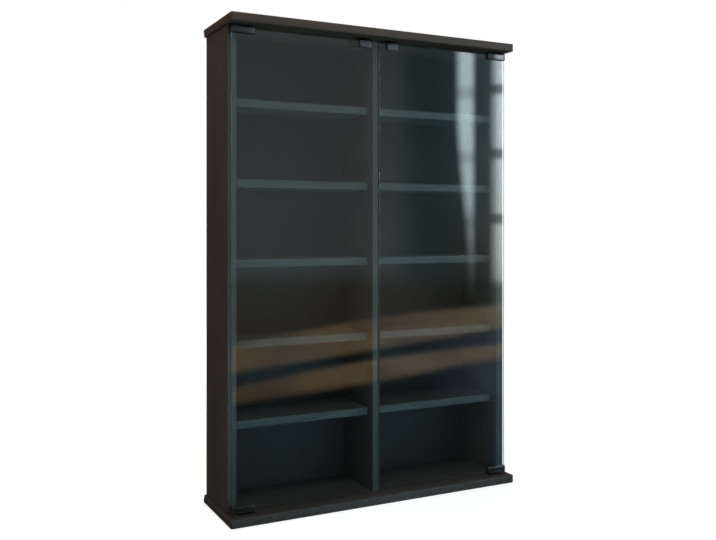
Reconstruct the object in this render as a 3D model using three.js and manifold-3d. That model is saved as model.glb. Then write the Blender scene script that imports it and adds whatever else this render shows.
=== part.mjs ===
// Storage cabinet for discs: two columns of six compartments behind two frameless glass doors.
// Black-brown boards stand on a base board, under a top board that overhangs the sides and the doors.
// Each door turns on two pins, at its outer corners, and a magnet latch holds its top inner corner.
// Millimetres. X runs to the right, Y to the back and Z up; the origin is under the middle of the base.
import * as THREE from "three";
import { mergeVertices } from "three/addons/utils/BufferGeometryUtils.js";
import Module from "manifold-3d";

const wasm = await Module();
wasm.setup();

// Outer size
const height = 915;
const width = 600;
const depth = 180;

// Clearances
const seatGap = 0.1; // between faces that bear on each other
const fitGap = 0.3; // round a piece in its bore or slot
const runningGap = 0.3; // between faces that turn or slide past each other
const journalGap = 0.15; // round a pin that turns in its bush
const overrun = 2; // how far a cutter passes the face it opens

// Boards and sheets
const boardThickness = 16;
const panelThickness = 16;
const shelfThickness = 15;
const backThickness = 3;
const glassThickness = 4;
const boardEdgeRadius = 2;
const boardCornerRadius = 3;
const panelEdgeRadius = 1;
const sideOverhang = 4.5; // boards past the sides
const rebateHeight = 8; // seat of the back sheet in the top and base boards
const backInset = 1; // back sheet short of the sides' outer faces
const scoreDepth = 1.6; // fold line down the middle of the back sheet
const scoreWidth = 3;

// Compartments
const shelfRows = 5;
const fixedRow = 3; // the shelf that ties the carcass together, counted from the bottom
const bottomClear = 146.5;
const topClear = 129.5;
const shelfSetback = 24; // shelf fronts behind the sides' fronts
const shelfEndGap = 0.5;

// Shelf pins, in bores at three heights for each loose shelf, and the shelves' pockets for them
const shelfPinRadius = 2.5;
const shelfPinSeat = 8; // length in the panel
const shelfPinReach = 8; // length in the shelf's pocket
const shelfPinChamfer = 0.6;
const pinLineInset = 26; // from the shelf's front and rear edges
const boreStep = 32;
const boreEndGap = 0.6;

// Dowels glued in the ends of the fixed shelf
const dowelRadius = 4;
const dowelReach = 6.2;
const dowelInset = 32;

// Doors
const glassSetback = 24; // door face behind the boards' front edge
const doorEdgeInset = 7.7; // door edge inside the boards' ends
const doorGap = 2.5; // between the two doors
const glassCornerRadius = 2;
const glassEdgeBevel = 0.5;

// Hinge clamps, as U-shaped shoes on the glass corners
const clampLength = 42.3;
const clampDepth = 12;
const clampHeight = 13;
const clampFloor = 3;
const clampEdgeRadius = 1;
const clampScrewRadius = 1.6;
const clampScrewInset = 12; // from each end of the clamp

// Hinge pins and their bushes
const hingeInset = 6.5; // axis from the door's outer edge
const hingePinRadius = 2.5;
const collarRadius = 4.4;
const collarThickness = 1.5;
const pinChamfer = 0.5;
const bushWall = 1.2;
const bushFlangeRadius = 5.5;
const bushFlangeThickness = 1.2;
const bushDepth = 9;
const swingGap = 1.15; // left when a clamp's corner swings past the side's front

// Magnet latches
const latchX = 29; // from the middle of the cabinet
const strikeWidth = 24;
const strikeHeight = 14;
const strikeThickness = 1.2;
const strikeCornerRadius = 2;
const latchWidth = 18;
const latchHeight = 15;
const latchWall = 1.4; // under the bore
const latchLength = 48;
const latchSetback = 4.5; // latch front behind the strike plate
const latchEdgeRadius = 3;
const latchFlangeWidth = 30;
const latchFlangeThickness = 2.4;
const latchScrewRadius = 1.75;
const latchScrewInset = 12;
const latchFloor = 4; // wall behind the bore
const plungerRadius = 3.6;
const plungerLength = 38;
const plungerHeadRadius = 4.6;
const plungerHeadThickness = 2;
const plungerChamfer = 0.6;

// Number of facets
const boreSides = 8;
const turnedSides = 16;
const arcSteps = 4;
const bevelSteps = 3;
const weldDistance = 0.0001;

// Planes and places that follow from the sizes
const boardFront = -depth / 2;
const rear = depth / 2;
const baseTop = boardThickness;
const topUnder = height - boardThickness;
const backFront = rear - backThickness;
const panelRear = backFront - seatGap;
const sideOuter = width / 2 - sideOverhang;
const sideInner = sideOuter - panelThickness;
const dividerFace = panelThickness / 2;
const hingeY = boardFront + glassSetback + glassThickness / 2;
const swingRadius = Math.hypot(hingeInset, clampDepth / 2);
const panelFront = hingeY + swingRadius + swingGap;
const panelDepth = panelRear - panelFront;
const panelHeight = topUnder - baseTop - 2 * seatGap;
const shelfFront = panelFront + shelfSetback;
const shelfRear = panelRear - seatGap;
const shelfLength = sideInner - dividerFace - 2 * shelfEndGap;
const shelfPitch = (topUnder - baseTop - bottomClear - topClear - shelfThickness) / (shelfRows - 1);
const pinLines = { front: shelfFront + pinLineInset, rear: shelfRear - pinLineInset };
const dowelLines = [shelfFront + dowelInset, shelfRear - dowelInset];
const shelfPinBore = shelfPinRadius + fitGap;
const clampGap = bushFlangeThickness + runningGap + collarThickness;
const glassBottom = baseTop + clampGap + clampFloor + fitGap;
const glassTop = topUnder - clampGap - clampFloor - fitGap;
const doorOuter = width / 2 - doorEdgeInset;
const glassWidth = doorOuter - doorGap / 2;
const hingeX = doorOuter - hingeInset;
const strikeBack = hingeY + glassThickness / 2 + fitGap + strikeThickness;
const latchFront = strikeBack + latchSetback;
const latchAxisDrop = latchHeight - latchWall - plungerRadius - runningGap; // below the latch's top
const latchAxisZ = topUnder - seatGap - latchAxisDrop;

// Underside of a shelf, counted from the bottom
function shelfUnder(row) {
  return baseTop + bottomClear + (row - 1) * shelfPitch;
}

function looseRows() {
  const rows = Array.from({ length: shelfRows }, (_, i) => i + 1);
  return rows.filter((row) => row !== fixedRow);
}

// Pins lie flush with the underside of their shelf
function pinHeight(row) {
  return shelfUnder(row) + shelfPinRadius;
}

// A closed three.js geometry as a solid that can be cut and joined
function toSolid(geometry) {
  const bare = geometry.clone();
  bare.deleteAttribute("normal");
  bare.deleteAttribute("uv");
  const merged = mergeVertices(bare, weldDistance);
  const index = merged.index.array;
  const triangles = [];
  for (let i = 0; i < index.length; i += 3) {
    const [a, b, c] = index.slice(i, i + 3);
    if (a !== b && b !== c && c !== a) triangles.push(a, b, c);
  }
  const vertProperties = merged.attributes.position.array;
  const triVerts = new Uint32Array(triangles);
  return new wasm.Manifold(new wasm.Mesh({ numProp: 3, vertProperties, triVerts }));
}

function toGeometry(solid) {
  const made = solid.getMesh();
  const geometry = new THREE.BufferGeometry();
  const places = new THREE.BufferAttribute(new Float32Array(made.vertProperties), 3);
  geometry.setAttribute("position", places);
  geometry.setIndex(new THREE.BufferAttribute(new Uint32Array(made.triVerts), 1));
  const faceted = geometry.toNonIndexed();
  faceted.computeVertexNormals();
  return faceted;
}

// Takes cutters away from a geometry
function cut(geometry, cutters) {
  let solid = toSolid(geometry);
  for (const cutter of cutters) solid = solid.subtract(toSolid(cutter));
  return toGeometry(solid);
}

// Turns a shape that was made along +Z so that it runs along the named axis
const alongAxis = {
  x: new THREE.Matrix4().makeBasis(
    new THREE.Vector3(0, 1, 0),
    new THREE.Vector3(0, 0, 1),
    new THREE.Vector3(1, 0, 0),
  ),
  y: new THREE.Matrix4().makeBasis(
    new THREE.Vector3(0, 0, 1),
    new THREE.Vector3(1, 0, 0),
    new THREE.Vector3(0, 1, 0),
  ),
  z: new THREE.Matrix4(),
};

// An outline carried along an axis. Its two coordinates are (y, z) along x, (z, x) along y and (x, y) along z.
function prism(outline, axis, from, to, bevel = 0) {
  const options = {
    depth: to - from - 2 * bevel,
    curveSegments: arcSteps,
    steps: 1,
    bevelEnabled: bevel > 0,
    bevelThickness: bevel,
    bevelSize: bevel,
    bevelOffset: -bevel,
    bevelSegments: bevelSteps,
  };
  const geometry = new THREE.ExtrudeGeometry(outline, options);
  return geometry.translate(0, 0, from + bevel).applyMatrix4(alongAxis[axis]);
}

// A rectangle from (a0, b0) to (a1, b1) whose corners have the radii listed from (a0, b0) round by (a1, b0)
function roundedRectangle(a0, b0, a1, b1, radii) {
  const [r00, r10, r11, r01] = radii;
  const quarter = Math.PI / 2;
  const outline = new THREE.Shape();
  outline.moveTo(a0 + r00, b0);
  outline.lineTo(a1 - r10, b0);
  if (r10 > 0) outline.absarc(a1 - r10, b0 + r10, r10, -quarter, 0);
  outline.lineTo(a1, b1 - r11);
  if (r11 > 0) outline.absarc(a1 - r11, b1 - r11, r11, 0, quarter);
  outline.lineTo(a0 + r01, b1);
  if (r01 > 0) outline.absarc(a0 + r01, b1 - r01, r01, quarter, 2 * quarter);
  outline.lineTo(a0, b0 + r00);
  if (r00 > 0) outline.absarc(a0 + r00, b0 + r00, r00, 2 * quarter, 3 * quarter);
  return outline;
}

function block(x0, x1, y0, y1, z0, z1) {
  const box = new THREE.BoxGeometry(x1 - x0, y1 - y0, z1 - z0);
  return box.translate((x0 + x1) / 2, (y0 + y1) / 2, (z0 + z1) / 2);
}

// A turned piece: profile points are [radius, place along the axis], from its low end to its high end
function turned(profile, axis, sides = turnedSides) {
  const points = profile.map(([radius, place]) => new THREE.Vector2(radius, place));
  const geometry = new THREE.LatheGeometry(points, sides);
  return geometry.rotateX(Math.PI / 2).applyMatrix4(alongAxis[axis]);
}

function rod(radius, axis, from, to, sides, chamfer = 0) {
  const profile = [[0, from], [radius - chamfer, from]];
  if (chamfer > 0) profile.push([radius, from + chamfer], [radius, to - chamfer]);
  profile.push([radius - chamfer, to], [0, to]);
  return turned(profile, axis, sides);
}

// Finishes: colour, roughness and metalness of each kind of piece
const finishes = {
  board: { color: 0x3a322e, roughness: 0.5, metalness: 0 },
  panel: { color: 0x35302d, roughness: 0.55, metalness: 0 },
  shelf: { color: 0x38332f, roughness: 0.55, metalness: 0 },
  back: { color: 0x2c2826, roughness: 0.75, metalness: 0 },
  glass: { color: 0xcfdcda, roughness: 0.04, metalness: 0, transparent: true, opacity: 0.3 },
  clamp: { color: 0x26262a, roughness: 0.4, metalness: 0.2 },
  steel: { color: 0x9a9da1, roughness: 0.35, metalness: 1 },
  strike: { color: 0x8c8f93, roughness: 0.3, metalness: 1 },
  bush: { color: 0x2b2b2b, roughness: 0.6, metalness: 0 },
  latch: { color: 0x2e2b29, roughness: 0.5, metalness: 0 },
  plunger: { color: 0x4a4a4c, roughness: 0.45, metalness: 0.1 },
  shelfPin: { color: 0x4b4038, roughness: 0.5, metalness: 0.1 },
};

function piece(name, geometry, finish, x = 0, y = 0, z = 0) {
  const mesh = new THREE.Mesh(geometry, new THREE.MeshStandardMaterial(finishes[finish]));
  mesh.name = name;
  mesh.position.set(x, y, z);
  return mesh;
}

// Top or base board, lying from z = 0 to its thickness with its outer face at the low side.
// The front and the ends are rounded, the rear is trimmed square and rebated for the back sheet,
// and a blind bore at each front corner takes a hinge bush.
function boardGeometry() {
  const corner = boardCornerRadius;
  const plan = roundedRectangle(
    -width / 2, boardFront, width / 2, rear + boardCornerRadius + overrun, [corner, corner, 0, 0],
  );
  const blank = prism(plan, "z", 0, boardThickness, boardEdgeRadius);
  const past = width / 2 + overrun;
  const farRear = rear + boardCornerRadius + 2 * overrun;
  const shoulder = boardThickness - rebateHeight;
  const squareRear = block(-past, past, rear, farRear, -overrun, boardThickness + overrun);
  const rebate = block(-past, past, backFront - seatGap, farRear, shoulder, boardThickness + overrun);
  const boreRadius = hingePinRadius + journalGap + bushWall + fitGap;
  const boreFloor = boardThickness - bushDepth - fitGap;
  const bores = [-hingeX, hingeX].map((x) =>
    rod(boreRadius, "z", boreFloor, boardThickness + overrun, turnedSides).translate(x, hingeY, 0),
  );
  return cut(blank, [squareRear, rebate, ...bores]);
}

// Upright panel, from z = 0 to its height and from y = 0 to its depth, middle of its thickness at x = 0
function uprightBlank() {
  const half = panelThickness / 2;
  const edge = panelEdgeRadius;
  const plan = roundedRectangle(-half, 0, half, panelDepth, [edge, edge, 0, 0]);
  return prism(plan, "z", 0, panelHeight);
}

// Places of the bores in an upright, measured from its front and its lower end
function boreHeights(row) {
  const middle = pinHeight(row) - baseTop - seatGap;
  return [middle - boreStep, middle, middle + boreStep];
}

function shelfBores(from, to) {
  const lines = Object.values(pinLines).map((y) => y - panelFront);
  return looseRows().flatMap((row) =>
    lines.flatMap((y) =>
      boreHeights(row).map((z) => rod(shelfPinBore, "x", from, to, boreSides).translate(0, y, z)),
    ),
  );
}

function dowelBores(from, to) {
  const z = shelfUnder(fixedRow) + shelfThickness / 2 - baseTop - seatGap;
  return dowelLines.map((y) =>
    rod(dowelRadius + fitGap, "x", from, to, turnedSides).translate(0, y - panelFront, z),
  );
}

// A side's inner face is at +x on the left and at -x on the right
function sideGeometry(side) {
  const face = panelThickness / 2;
  const pinEnd = -side * (face - shelfPinSeat - boreEndGap);
  const dowelEnd = -side * (face - dowelReach - shelfEndGap);
  const open = -side * (face + overrun);
  const order = (a, b) => [Math.min(a, b), Math.max(a, b)];
  const bores = [...shelfBores(...order(pinEnd, open)), ...dowelBores(...order(dowelEnd, open))];
  return cut(uprightBlank(), bores);
}

function dividerGeometry() {
  const face = panelThickness / 2;
  const through = shelfBores(-face - overrun, face + overrun);
  const dowelEnd = face - dowelReach + fitGap;
  const left = dowelBores(-face - overrun, -dowelEnd);
  const right = dowelBores(dowelEnd, face + overrun);
  return cut(uprightBlank(), [...through, ...left, ...right]);
}

// Shelf with its underside at z = 0, its front at y = 0 and its middle at x = 0
function shelfBlank() {
  const shelfDepth = shelfRear - shelfFront;
  const edge = panelEdgeRadius;
  const section = roundedRectangle(0, 0, shelfDepth, shelfThickness, [edge, 0, 0, edge]);
  return prism(section, "x", -shelfLength / 2, shelfLength / 2);
}

// A loose shelf has a round-ended pocket over each of its four pins, open at the shelf's end
function looseShelfGeometry() {
  const half = shelfPinRadius + fitGap;
  const inner = shelfLength / 2 + shelfEndGap - shelfPinReach - half;
  const outer = shelfLength / 2 + overrun;
  const ceiling = 2 * shelfPinRadius + seatGap;
  const pockets = Object.values(pinLines).flatMap((line) => {
    const y = line - shelfFront;
    const right = roundedRectangle(inner, y - half, outer, y + half, [half, 0, 0, half]);
    const left = roundedRectangle(-outer, y - half, -inner, y + half, [0, half, half, 0]);
    return [left, right].map((plan) => prism(plan, "z", -overrun, ceiling));
  });
  return cut(shelfBlank(), pockets);
}

function fixedShelfGeometry() {
  const reach = shelfLength / 2 + dowelReach;
  let solid = toSolid(shelfBlank());
  for (const y of dowelLines) {
    const dowel = rod(dowelRadius, "x", -reach, reach, turnedSides, pinChamfer);
    solid = solid.add(toSolid(dowel.translate(0, y - shelfFront, shelfThickness / 2)));
  }
  return toGeometry(solid);
}

// Hardboard sheet with a V-shaped fold line, from z = 0 up and with its rear face at y = 0
function backGeometry() {
  const half = sideOuter - backInset;
  const sheetHeight = height - 2 * (boardThickness - rebateHeight) - 2 * seatGap;
  const plan = new THREE.Shape();
  plan.moveTo(-half, -backThickness);
  plan.lineTo(half, -backThickness);
  plan.lineTo(half, 0);
  plan.lineTo(scoreWidth / 2, 0);
  plan.lineTo(0, -scoreDepth);
  plan.lineTo(-scoreWidth / 2, 0);
  plan.lineTo(-half, 0);
  plan.closePath();
  return prism(plan, "z", 0, sheetHeight);
}

function makeCarcass() {
  const carcass = new THREE.Group();
  const base = piece("base_board", boardGeometry(), "board");
  const top = piece("top_board", boardGeometry(), "board", 0, 0, height);
  top.rotation.y = Math.PI;
  const foot = baseTop + seatGap;
  const sideX = (sideOuter + sideInner) / 2;
  carcass.add(base, top);
  carcass.add(piece("left_side", sideGeometry(-1), "panel", -sideX, panelFront, foot));
  carcass.add(piece("right_side", sideGeometry(1), "panel", sideX, panelFront, foot));
  carcass.add(piece("center_divider", dividerGeometry(), "panel", 0, panelFront, foot));
  const sheetFoot = boardThickness - rebateHeight + seatGap;
  carcass.add(piece("back_sheet", backGeometry(), "back", 0, rear, sheetFoot));
  return carcass;
}

function makeShelves() {
  const shelves = new THREE.Group();
  const shelfX = (sideInner + dividerFace) / 2;
  for (const [column, side] of [["left", -1], ["right", 1]]) {
    for (let row = 1; row <= shelfRows; row += 1) {
      const geometry = row === fixedRow ? fixedShelfGeometry() : looseShelfGeometry();
      const name = `${column}_shelf_${row}`;
      shelves.add(piece(name, geometry, "shelf", side * shelfX, shelfFront, shelfUnder(row)));
    }
  }
  return shelves;
}

// Pins in the sides, and longer ones through the divider that carry the shelves on both of its faces
function makeShelfPins() {
  const pins = new THREE.Group();
  const short = (shelfPinSeat + shelfPinReach) / 2;
  const long = panelThickness / 2 + shelfPinReach;
  const middle = sideInner + (shelfPinSeat - shelfPinReach) / 2;
  const places = [["left", -middle, short], ["divider", 0, long], ["right", middle, short]];
  for (const row of looseRows()) {
    for (const [line, y] of Object.entries(pinLines)) {
      for (const [panel, x, half] of places) {
        const shape = rod(shelfPinRadius, "x", -half, half, boreSides, shelfPinChamfer);
        pins.add(piece(`${panel}_shelf_pin_${row}_${line}`, shape, "shelfPin", x, y, pinHeight(row)));
      }
    }
  }
  return pins;
}

// Flanged bush with the board's face at z = 0 and the flange above it
function bushGeometry() {
  const inner = hingePinRadius + journalGap;
  const outer = inner + bushWall;
  const profile = [
    [inner, -bushDepth],
    [outer, -bushDepth],
    [outer, seatGap],
    [bushFlangeRadius, seatGap],
    [bushFlangeRadius, bushFlangeThickness],
    [inner, bushFlangeThickness],
    [inner, -bushDepth],
  ];
  return turned(profile, "z");
}

// Stepped pin with the board's face at z = 0: a journal below, a collar, and a shank in the clamp's floor
function hingePinGeometry() {
  const journalEnd = -bushDepth + fitGap;
  const collarStart = bushFlangeThickness + runningGap;
  const collarEnd = clampGap - seatGap;
  const shankEnd = clampGap + clampFloor - fitGap;
  const profile = [
    [0, journalEnd],
    [hingePinRadius - pinChamfer, journalEnd],
    [hingePinRadius, journalEnd + pinChamfer],
    [hingePinRadius, collarStart],
    [collarRadius, collarStart],
    [collarRadius, collarEnd],
    [hingePinRadius, collarEnd],
    [hingePinRadius, shankEnd],
    [0, shankEnd],
  ];
  return turned(profile, "z");
}

// Clamp with its floor towards -z when end is -1 (bottom of the door) and towards +z when end is 1.
// The middle of its length, its slot and the face nearest the board are at the origin.
function clampGeometry(side, end) {
  const half = clampDepth / 2;
  const slot = glassThickness / 2 + fitGap;
  const r = clampEdgeRadius;
  const up = -end;
  const outline = new THREE.Shape();
  outline.moveTo(-half + r, 0);
  outline.lineTo(half - r, 0);
  outline.lineTo(half, up * r);
  outline.lineTo(half, up * (clampHeight - r));
  outline.lineTo(half - r, up * clampHeight);
  outline.lineTo(slot, up * clampHeight);
  outline.lineTo(slot, up * clampFloor);
  outline.lineTo(-slot, up * clampFloor);
  outline.lineTo(-slot, up * clampHeight);
  outline.lineTo(-half + r, up * clampHeight);
  outline.lineTo(-half, up * (clampHeight - r));
  outline.lineTo(-half, up * r);
  outline.closePath();
  const blank = prism(outline, "x", -clampLength / 2, clampLength / 2);
  const pinX = side * (clampLength / 2 - hingeInset);
  const floor = [-overrun, clampFloor + overrun].map((z) => up * z).sort((a, b) => a - b);
  const pinBore = rod(hingePinRadius + fitGap, "z", ...floor, turnedSides).translate(pinX, 0, 0);
  const screwZ = (up * (clampFloor + clampHeight)) / 2;
  const screwX = clampLength / 2 - clampScrewInset;
  const screwBores = [-screwX, screwX].map((x) =>
    rod(clampScrewRadius, "y", 0, half + overrun, boreSides).translate(x, 0, screwZ),
  );
  return cut(blank, [pinBore, ...screwBores]);
}

function glassGeometry() {
  const w = glassWidth / 2;
  const h = (glassTop - glassBottom) / 2;
  const r = glassCornerRadius;
  const outline = roundedRectangle(-h, -w, h, w, [r, r, r, r]);
  return prism(outline, "y", -glassThickness / 2, glassThickness / 2, glassEdgeBevel);
}

// Bent steel cap over the glass's top edge, with that edge at z = 0 and the glass's middle at y = 0
function strikeGeometry() {
  const inner = glassThickness / 2 + fitGap;
  const outer = inner + strikeThickness;
  const top = fitGap + strikeThickness;
  const foot = top - strikeHeight;
  const section = new THREE.Shape();
  section.moveTo(-outer, foot);
  section.lineTo(-inner, foot);
  section.lineTo(-inner, fitGap);
  section.lineTo(inner, fitGap);
  section.lineTo(inner, foot);
  section.lineTo(outer, foot);
  section.lineTo(outer, top - strikeThickness);
  section.absarc(outer - strikeThickness, top - strikeThickness, strikeThickness, 0, Math.PI / 2);
  section.lineTo(-outer + strikeThickness, top);
  section.absarc(-inner, top - strikeThickness, strikeThickness, Math.PI / 2, Math.PI);
  section.closePath();
  const bent = prism(section, "x", -strikeWidth / 2, strikeWidth / 2);
  const half = strikeWidth / 2;
  const r = strikeCornerRadius;
  const face = roundedRectangle(foot, -half, top + overrun, half, [r, 0, 0, r]);
  const trim = prism(face, "y", -outer - overrun, outer + overrun);
  return toGeometry(toSolid(bent).intersect(toSolid(trim)));
}

// A door: everything on it is placed from its hinge axis, which the group stands on
function makeDoor(name, side) {
  const door = new THREE.Group();
  door.position.set(side * hingeX, hingeY, 0);
  const glassX = -side * (glassWidth / 2 - hingeInset);
  const clampX = -side * (clampLength / 2 - hingeInset);
  const glassZ = (glassBottom + glassTop) / 2;
  door.add(piece(`${name}_door_glass`, glassGeometry(), "glass", glassX, 0, glassZ));
  for (const [place, end] of [["bottom", -1], ["top", 1]]) {
    const boardFace = end < 0 ? baseTop : topUnder;
    const clampZ = boardFace - end * clampGap;
    const clampShape = clampGeometry(side, end);
    door.add(piece(`${name}_${place}_clamp`, clampShape, "clamp", clampX, 0, clampZ));
    const pin = piece(`${name}_${place}_hinge_pin`, hingePinGeometry(), "steel", 0, 0, boardFace);
    if (end > 0) pin.rotation.x = Math.PI;
    door.add(pin);
  }
  const strikeX = -side * (hingeX - latchX);
  door.add(piece(`${name}_strike_plate`, strikeGeometry(), "strike", strikeX, 0, glassTop));
  return door;
}

function makeBushes(name, side) {
  const bushes = new THREE.Group();
  bushes.position.set(side * hingeX, hingeY, 0);
  const bottom = piece(`${name}_bottom_bush`, bushGeometry(), "bush", 0, 0, baseTop);
  const top = piece(`${name}_top_bush`, bushGeometry(), "bush", 0, 0, topUnder);
  top.rotation.x = Math.PI;
  bushes.add(bottom, top);
  return bushes;
}

// Latch body with its screw flange at the top, its front at y = 0 and the plunger's axis at x = 0, z = 0
function latchHousingGeometry() {
  const top = latchAxisDrop;
  const under = top - latchFlangeThickness;
  const foot = top - latchHeight;
  const body = latchWidth / 2;
  const flange = latchFlangeWidth / 2;
  const r = latchEdgeRadius;
  const section = new THREE.Shape();
  section.moveTo(top, -flange);
  section.lineTo(top, flange);
  section.lineTo(under, flange);
  section.lineTo(under, body);
  section.lineTo(foot + r, body);
  section.absarc(foot + r, body - r, r, Math.PI / 2, Math.PI);
  section.lineTo(foot, -body + r);
  section.absarc(foot + r, -body + r, r, Math.PI, 1.5 * Math.PI);
  section.lineTo(under, -body);
  section.lineTo(under, -flange);
  section.closePath();
  const blank = prism(section, "y", 0, latchLength);
  const boreEnd = latchLength - latchFloor;
  const bore = rod(plungerRadius + runningGap, "y", -overrun, boreEnd, turnedSides);
  const screwX = (body + flange) / 2;
  const screws = [[-screwX, latchScrewInset], [screwX, latchLength - latchScrewInset]].map(([x, y]) =>
    rod(latchScrewRadius, "z", under - overrun, top + overrun, boreSides).translate(x, y, 0),
  );
  return cut(blank, [bore, ...screws]);
}

// Plunger with its magnet face at y = 0
function plungerGeometry() {
  const profile = [
    [0, 0],
    [plungerHeadRadius - plungerChamfer, 0],
    [plungerHeadRadius, plungerChamfer],
    [plungerHeadRadius, plungerHeadThickness],
    [plungerRadius, plungerHeadThickness],
    [plungerRadius, plungerLength - plungerChamfer],
    [plungerRadius - plungerChamfer, plungerLength],
    [0, plungerLength],
  ];
  return turned(profile, "y");
}

function makeLatch(name, side) {
  const latch = new THREE.Group();
  latch.position.set(side * latchX, latchFront, latchAxisZ);
  latch.add(piece(`${name}_latch_housing`, latchHousingGeometry(), "latch"));
  const magnetFace = strikeBack + fitGap - latchFront;
  latch.add(piece(`${name}_latch_plunger`, plungerGeometry(), "plunger", 0, magnetFace, 0));
  return latch;
}

const cabinet = new THREE.Group();
cabinet.add(makeCarcass(), makeShelves(), makeShelfPins());
for (const [name, side] of [["left", -1], ["right", 1]]) {
  cabinet.add(makeBushes(name, side), makeDoor(name, side), makeLatch(name, side));
}

export default cabinet;
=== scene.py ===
# %% [markdown]
# # A cabinet for discs, behind two glass doors
#
# The cabinet arrives as a frame: plain solids that are already the right size, with the joints of
# the doors and latches. This file gives them their looks. Each step is a cell. It says what the piece
# or finish is on the real cabinet, how it could be made, and why it is made in the way that follows.
# Everything is in metres: X runs to the right, Y to the back and Z up, from under the base.

# %% Load the frame and measure it
import math

import bmesh
import bpy
import numpy as np
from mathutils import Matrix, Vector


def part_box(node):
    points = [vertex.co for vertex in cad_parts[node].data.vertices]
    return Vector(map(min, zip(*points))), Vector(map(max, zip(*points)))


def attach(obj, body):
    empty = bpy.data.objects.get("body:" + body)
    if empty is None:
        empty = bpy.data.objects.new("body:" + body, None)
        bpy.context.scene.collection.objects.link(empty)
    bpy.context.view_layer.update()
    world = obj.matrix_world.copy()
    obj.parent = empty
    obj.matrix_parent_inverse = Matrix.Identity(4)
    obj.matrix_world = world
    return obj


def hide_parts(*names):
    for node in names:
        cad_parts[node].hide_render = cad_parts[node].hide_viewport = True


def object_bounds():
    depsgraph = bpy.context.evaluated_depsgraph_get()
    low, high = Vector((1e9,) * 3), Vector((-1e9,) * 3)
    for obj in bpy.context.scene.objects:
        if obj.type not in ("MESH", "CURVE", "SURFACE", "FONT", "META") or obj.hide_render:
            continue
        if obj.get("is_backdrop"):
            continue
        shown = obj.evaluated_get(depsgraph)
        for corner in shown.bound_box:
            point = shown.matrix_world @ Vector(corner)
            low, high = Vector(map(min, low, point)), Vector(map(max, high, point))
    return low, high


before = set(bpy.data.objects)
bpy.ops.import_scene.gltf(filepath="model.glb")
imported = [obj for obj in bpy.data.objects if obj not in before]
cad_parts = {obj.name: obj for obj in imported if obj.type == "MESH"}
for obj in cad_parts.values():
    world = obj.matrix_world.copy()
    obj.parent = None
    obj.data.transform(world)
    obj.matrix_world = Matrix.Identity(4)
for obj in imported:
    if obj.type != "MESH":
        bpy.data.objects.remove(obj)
cad_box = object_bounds()
mm = 0.001
along_x, along_y, along_z = range(3)


def corners(node):
    """Lowest and highest corner of a frame node, as two numpy arrays."""
    low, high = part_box(node)
    return np.array(low, float), np.array(high, float)


def middle_of(node, axis):
    """Halfway through a frame node along an axis."""
    low, high = corners(node)
    return (low[axis] + high[axis]) / 2


print("cabinet measures", np.round(np.ptp(cad_box, axis=0) / mm, 1), "mm")
print("pieces in the frame:", len(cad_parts))

# %% [markdown]
# ## The camera
#
# A photographer who keeps the camera level gets upright edges that stay upright, and then shifts the
# lens to frame a tall cabinet. The camera here does the same. Its place and turn came from a fit of
# the cabinet's corners to the picture, and its shift from where the level edges run together: the
# lens's axis meets the picture at the pixel named here.

# %% Set up the camera
picture_width = 716
picture_height = 540
focal_pixels = 904.3
lens_axis_x = 435.8
lens_axis_y = 224.9
camera_place = (-0.7665, -1.6553, 0.5375)
camera_turn = math.radians(29.36)

camera_data = bpy.data.cameras.new("camera")
camera_data.sensor_width = 36.0
camera_data.lens = camera_data.sensor_width * focal_pixels / picture_width
camera_data.shift_x = (picture_width / 2 - lens_axis_x) / picture_width
camera_data.shift_y = (lens_axis_y - picture_height / 2) / picture_width
camera = bpy.data.objects.new("camera", camera_data)
camera.location = camera_place
camera.rotation_euler = (math.pi / 2, 0, -camera_turn)
bpy.context.collection.objects.link(camera)
bpy.context.scene.camera = camera
bpy.context.scene.view_settings.view_transform = "Standard"
print("lens", round(camera_data.lens, 2), "mm")
print("shift", round(camera_data.shift_x, 4), round(camera_data.shift_y, 4))

# %% [markdown]
# ## Shader maths as Python sums
#
# Blender builds a material as a web of nodes. A formula such as 1 - mask * 0.4 would take two Math
# nodes, wired by hand. The small class below wraps a socket, so that Python's own signs add those
# nodes. Every other node comes from one method that takes its type, settings and inputs.

# %% A socket that understands sums
class Value:
    """A number or colour that varies over a surface: it wraps an output socket of a node."""

    def __init__(self, tree, socket):
        self.tree = tree
        self.socket = socket

    def maths(self, operation, *inputs):
        """A Math node with these inputs."""
        node = self.tree.nodes.new("ShaderNodeMath")
        node.operation = operation
        for socket, value in zip(node.inputs, inputs):
            plug(self.tree, socket, value)
        return Value(self.tree, node.outputs[0])

    def __add__(self, other):
        return self.maths("ADD", self, other)

    def __sub__(self, other):
        return self.maths("SUBTRACT", self, other)

    def __rsub__(self, other):
        return self.maths("SUBTRACT", other, self)

    def __mul__(self, other):
        return self.maths("MULTIPLY", self, other)

    def __truediv__(self, other):
        return self.maths("DIVIDE", self, other)

    def maximum(self, other):
        """The larger of the two."""
        return self.maths("MAXIMUM", self, other)

    def distance_to(self, other):
        """How far the two are apart, never below 0."""
        return self.maths("ABSOLUTE", self - other)

    def ramp(self, start, end):
        """0 up to start and 1 from end on, with an S-curve between. With start above end it falls."""
        node = self.tree.nodes.new("ShaderNodeMapRange")
        node.interpolation_type = "SMOOTHSTEP"
        plug(self.tree, node.inputs["Value"], self)
        node.inputs["From Min"].default_value = min(start, end)
        node.inputs["From Max"].default_value = max(start, end)
        node.inputs["To Min"].default_value = float(start > end)
        node.inputs["To Max"].default_value = float(start <= end)
        return Value(self.tree, node.outputs["Result"])


def plug(tree, socket, value):
    """Puts a number or colour on a socket, or links another socket to it."""
    if isinstance(value, Value):
        tree.links.new(value.socket, socket)
    else:
        socket.default_value = value


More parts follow.
